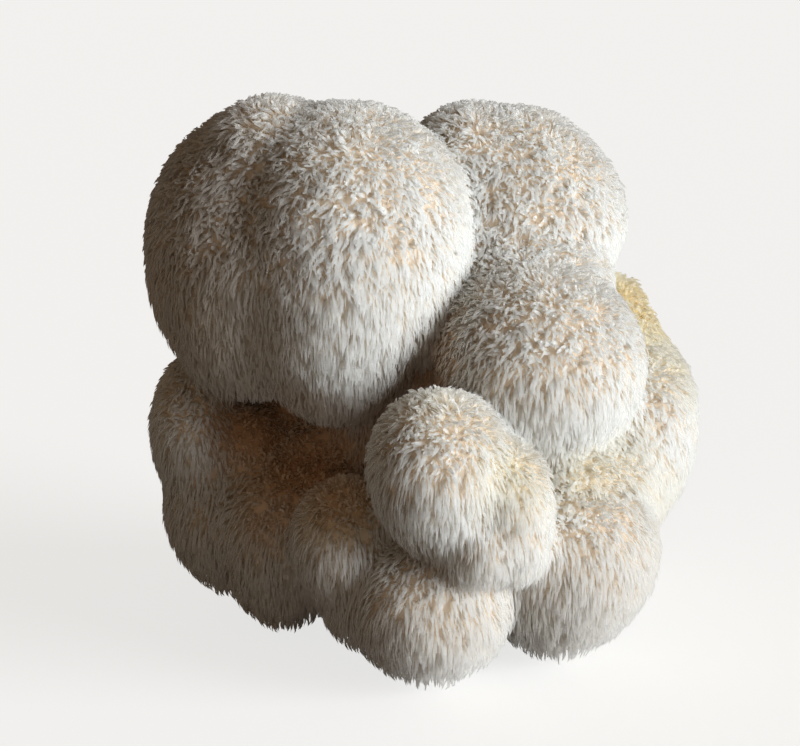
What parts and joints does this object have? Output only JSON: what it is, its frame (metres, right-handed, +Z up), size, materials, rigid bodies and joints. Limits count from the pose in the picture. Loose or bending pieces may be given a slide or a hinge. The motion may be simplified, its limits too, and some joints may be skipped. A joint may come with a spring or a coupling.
{
  "type": "lion's mane mushroom",
  "caption": "Fresh lion's mane mushroom: a cluster of swollen white lobes grown together and covered in soft hanging spines, standing on the flat cut where it left the wood.",
  "frame": {"origin": "on the surface it stands on, under the middle of its bounding box", "axes": "+Z up, away from the cut it stands on; -Y towards the front, which shows the most lobes; +X to the right seen from the front, along its longest side"},
  "size_m": [0.2335, 0.2075, 0.2288],
  "materials": {
    "mushroom_flesh": "soft matt creamy white with a faint moist gloss, tan between the spines and yellow on a few crowns"
  },
  "bodies": {
    "root": {"fruit_body": "mushroom_flesh"}
  },
  "joints": []
}
